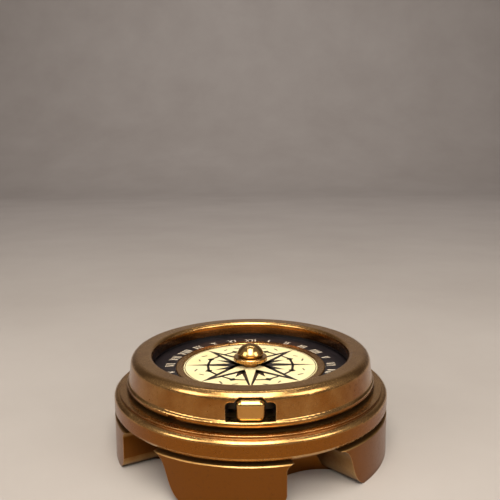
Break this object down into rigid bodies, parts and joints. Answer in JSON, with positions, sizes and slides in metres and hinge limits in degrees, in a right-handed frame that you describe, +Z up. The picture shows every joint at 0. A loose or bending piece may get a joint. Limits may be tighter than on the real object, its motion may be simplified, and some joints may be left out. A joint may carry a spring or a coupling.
{
  "type": "pocket sundial compass",
  "caption": "Round brass pocket sundial: a compass drum hinged over an hour plate with a folding gnomon, on a notched foot, with a push catch.",
  "frame": {"origin": "centre of the footprint, on the surface the feet stand on", "axes": "+Z up through the arbor, -Y towards the catch button, hinge along X at +Y"},
  "size_m": [0.064, 0.064, 0.0235],
  "materials": {
    "aged_brass": "polished, aged",
    "plate_brass": "satin, engraved",
    "screw_brass": "satin",
    "blued_steel": "blued",
    "dial_black": "satin black lacquer",
    "card_cream": "printed, lacquered"
  },
  "bodies": {
    "base": {"foot_base": "aged_brass", "case_ring": "aged_brass", "base_screws": "screw_brass", "hour_plate": "plate_brass", "hour_plate_screws": "screw_brass", "gnomon_lugs": "plate_brass", "gnomon_pin": "blued_steel", "catch_keeper": "blued_steel", "keeper_screws": "screw_brass", "hinge_base_leaf": "aged_brass", "hinge_pin": "blued_steel"},
    "drum": {"drum_case": "aged_brass", "drum_floor": "aged_brass", "floor_screws": "screw_brass", "arbor": "aged_brass", "hub_cap": "aged_brass", "dial_spacer": "dial_black", "dial_ring": "dial_black", "card_bezel": "aged_brass", "hinge_drum_leaf": "aged_brass", "hinge_screws": "screw_brass", "catch_guide": "aged_brass", "guide_screws": "screw_brass", "spring_posts": "blued_steel", "catch_spring": "blued_steel"},
    "compass_card": {"rose_card": "card_cream", "hub_collar": "aged_brass", "bar_magnets": "blued_steel"},
    "catch": {"catch_button": "aged_brass", "catch_slide": "blued_steel"},
    "gnomon": {"gnomon_plate": "plate_brass", "gnomon_spring": "blued_steel"}
  },
  "joints": [
    {"name": "drum_hinge", "type": "hinge", "parent": "base", "child": "drum", "pos_m": [0, 0.0299, 0.0161], "axis": [-1, 0, 0], "range_deg": [0, 100]},
    {"name": "gnomon_fold", "type": "hinge", "parent": "base", "child": "gnomon", "pos_m": [0, 0, 0.0134], "axis": [0, -1, 0], "range_deg": [0, 90], "deforming": ["gnomon_spring"]},
    {"name": "card_turn", "type": "hinge", "parent": "drum", "child": "compass_card", "pos_m": [0, 0, 0.018], "axis": [0, 0, 1], "continuous": true},
    {"name": "catch_push", "type": "slide", "parent": "drum", "child": "catch", "axis": [0, 1, 0], "range_m": [0, 0.0009], "stiffness_N_per_m": 300, "deforming": ["catch_spring"]}
  ],
  "couplings": [
    {"joint": "gnomon_fold", "follows": "drum_hinge", "ratio": 0.9}
  ]
}
